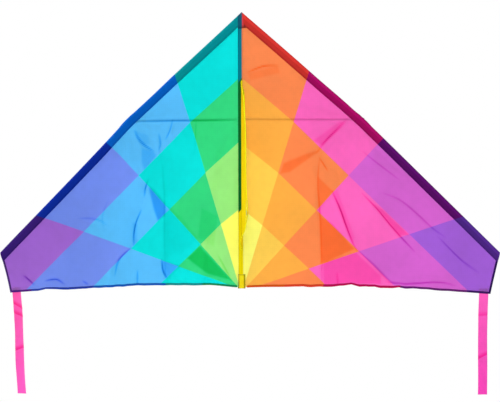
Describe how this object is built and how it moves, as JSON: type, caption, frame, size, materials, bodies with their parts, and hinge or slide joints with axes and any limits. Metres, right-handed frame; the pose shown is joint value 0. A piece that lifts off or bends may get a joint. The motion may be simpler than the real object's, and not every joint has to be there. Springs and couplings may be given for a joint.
{
  "type": "delta kite",
  "caption": "Single-line delta kite with a rainbow sail, yellow keel, folding wings, removable spreader and two ribbon tails.",
  "frame": {"origin": "centre of the tow eyelet at the keel's lowest point", "axes": "+X along the span to the right wing as the keel side is seen, -Y the keel side, +Z to the nose; wings lean back 9 degrees and the keel leans 12 degrees to +X"},
  "size_m": [1.1893, 0.2424, 0.889],
  "materials": {
    "sail_ripstop": "ripstop polyester, dyed in a stepped rainbow, satin",
    "sleeve_cloth": "layered ripstop polyester, matt",
    "hem_cloth": "folded and stitched ripstop polyester",
    "spine_cloth": "layered ripstop polyester, matt",
    "keel_cloth": "ripstop polyester, satin",
    "tail_ribbon": "ribbon cut from ripstop polyester, satin",
    "fibreglass": "pultruded fibreglass rod, smooth",
    "vinyl": "soft black vinyl",
    "eyelet_brass": "rolled brass"
  },
  "bodies": {
    "spine": {"spine_rod": "fibreglass", "spine_top_cap": "vinyl", "spine_bottom_cap": "vinyl", "spine_sleeve": "spine_cloth", "spine_end_pocket": "keel_cloth", "nose_patch": "sleeve_cloth"},
    "left_wing": {"left_sail": "sail_ripstop", "left_leading_edge_sleeve_upper": "sleeve_cloth", "left_leading_edge_sleeve_lower": "sleeve_cloth", "left_leading_edge_rod": "fibreglass", "left_rod_upper_cap": "vinyl", "left_rod_lower_cap": "vinyl", "left_connector": "vinyl", "left_trailing_hem": "hem_cloth", "left_tip_hem": "hem_cloth", "left_tail_stitched_end": "tail_ribbon"},
    "right_wing": {"right_sail": "sail_ripstop", "right_leading_edge_sleeve_upper": "sleeve_cloth", "right_leading_edge_sleeve_lower": "sleeve_cloth", "right_leading_edge_rod": "fibreglass", "right_rod_upper_cap": "vinyl", "right_rod_lower_cap": "vinyl", "right_connector": "vinyl", "right_trailing_hem": "hem_cloth", "right_tip_hem": "hem_cloth", "right_tail_stitched_end": "tail_ribbon"},
    "keel": {"keel_panel": "keel_cloth", "keel_hem": "keel_cloth", "keel_patch": "keel_cloth", "tow_eyelet": "eyelet_brass", "eyelet_washer": "eyelet_brass"},
    "spreader": {"spreader_rod": "fibreglass"},
    "left_tail": {"left_tail": "tail_ribbon"},
    "right_tail": {"right_tail": "tail_ribbon"}
  },
  "joints": [
    {"name": "left_wing_fold", "type": "hinge", "parent": "spine", "child": "left_wing", "pos_m": [-0.03502, 0.13081, 0.1405], "axis": [0, 0, 1], "range_deg": [0, 85]},
    {"name": "right_wing_fold", "type": "hinge", "parent": "spine", "child": "right_wing", "pos_m": [-0.02376, 0.12965, 0.1405], "axis": [0, 0, 1], "range_deg": [-85, 0]},
    {"name": "keel_swing", "type": "hinge", "parent": "spine", "child": "keel", "pos_m": [-0.02724, 0.12814, 0.1105], "axis": [0, 0, 1], "range_deg": [-100, 80]},
    {"name": "spreader_swing", "type": "hinge", "parent": "left_wing", "child": "spreader", "pos_m": [-0.29991, 0.18187, 0.21376], "axis": [0.1564, 0.9877, 0], "range_deg": [0, 135], "deforming": ["left_connector", "right_connector"]},
    {"name": "left_tail_swing", "type": "hinge", "parent": "left_wing", "child": "left_tail", "pos_m": [-0.58063, 0.21844, -0.1957], "axis": [0.9877, -0.1564, 0], "range_deg": [-80, 80]},
    {"name": "right_tail_swing", "type": "hinge", "parent": "right_wing", "child": "right_tail", "pos_m": [0.52916, 0.21844, -0.1957], "axis": [0.9877, 0.1564, 0], "range_deg": [-80, 80]}
  ]
}
